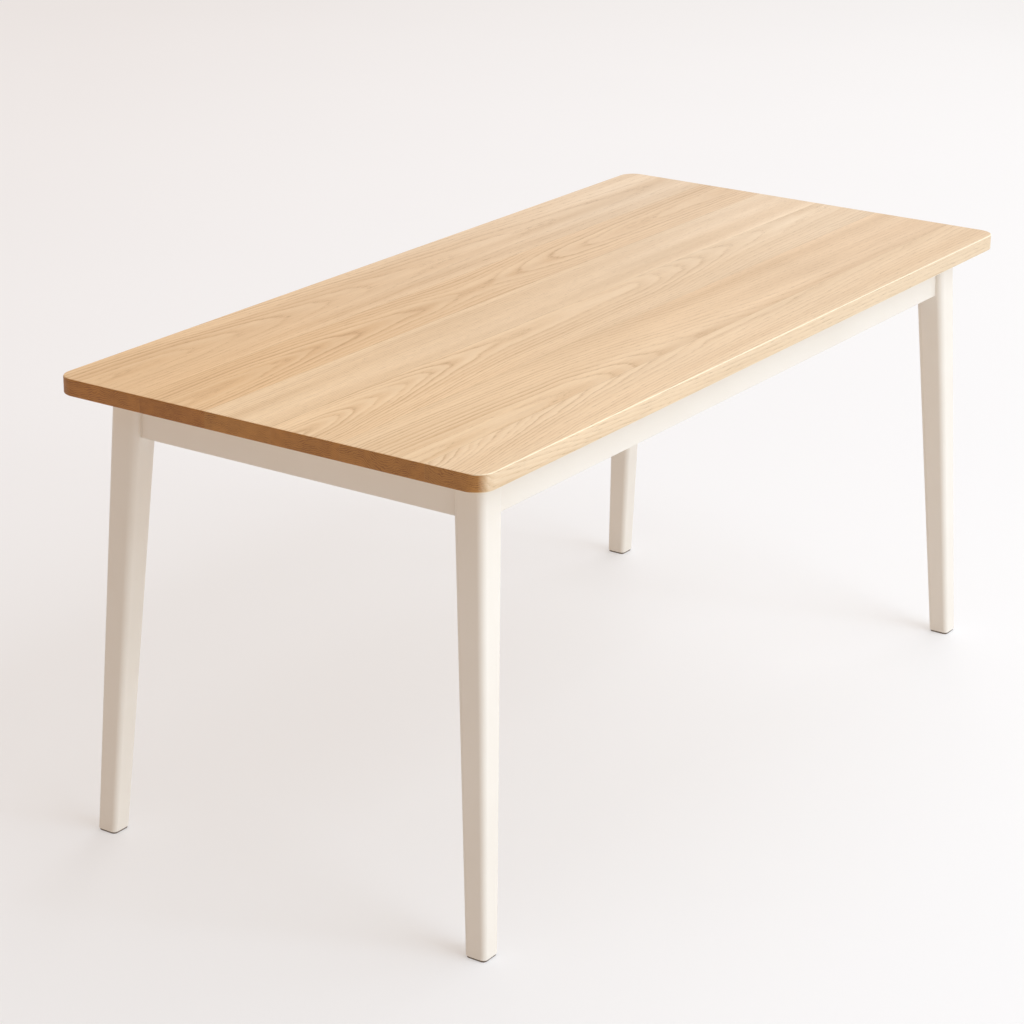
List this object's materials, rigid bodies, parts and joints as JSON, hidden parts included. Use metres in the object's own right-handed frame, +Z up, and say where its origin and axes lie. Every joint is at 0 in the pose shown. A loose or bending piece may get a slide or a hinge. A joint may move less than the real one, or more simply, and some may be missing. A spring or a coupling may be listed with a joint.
{
  "type": "communion table",
  "caption": "Rectangular table with a rounded-corner plank top on splayed, tapered legs joined by aprons, for setting out the elements of a service or for a hall.",
  "frame": {"origin": "on the floor, under the middle of the top", "axes": "+X along the length, +Y across the width towards the back, +Z up; left is the end at -X and front is the long side at -Y"},
  "size_m": [1.6, 0.77, 0.755],
  "materials": {
    "oak": "solid light oak, edge-glued planks, clear matt oil",
    "frame_paint": "solid wood, cream-white satin paint",
    "plain_beech": "plain planed beech, unfinished",
    "zinc_steel": "bright zinc-plated steel",
    "pad_plastic": "dark brown nylon, matt"
  },
  "bodies": {
    "root": {"top_plank_1": "oak", "top_plank_2": "oak", "top_plank_3": "oak", "top_plank_4": "oak", "top_plank_5": "oak", "top_plank_6": "oak", "leg_front_left": "frame_paint", "leg_front_right": "frame_paint", "leg_back_right": "frame_paint", "leg_back_left": "frame_paint", "apron_front": "frame_paint", "apron_back": "frame_paint", "apron_left": "frame_paint", "apron_right": "frame_paint", "cross_rail": "frame_paint", "corner_block_front_left": "plain_beech", "corner_block_front_right": "plain_beech", "corner_block_back_right": "plain_beech", "corner_block_back_left": "plain_beech", "dowels": "plain_beech", "foot_pad_front_left": "pad_plastic", "foot_pad_front_right": "pad_plastic", "foot_pad_back_right": "pad_plastic", "foot_pad_back_left": "pad_plastic", "hanger_bolts": "zinc_steel", "hanger_bolt_washers": "zinc_steel", "hanger_bolt_nuts": "zinc_steel", "corner_block_screws": "zinc_steel", "top_clips": "zinc_steel", "top_clip_screws": "zinc_steel", "foot_pad_screws": "zinc_steel"}
  },
  "joints": []
}
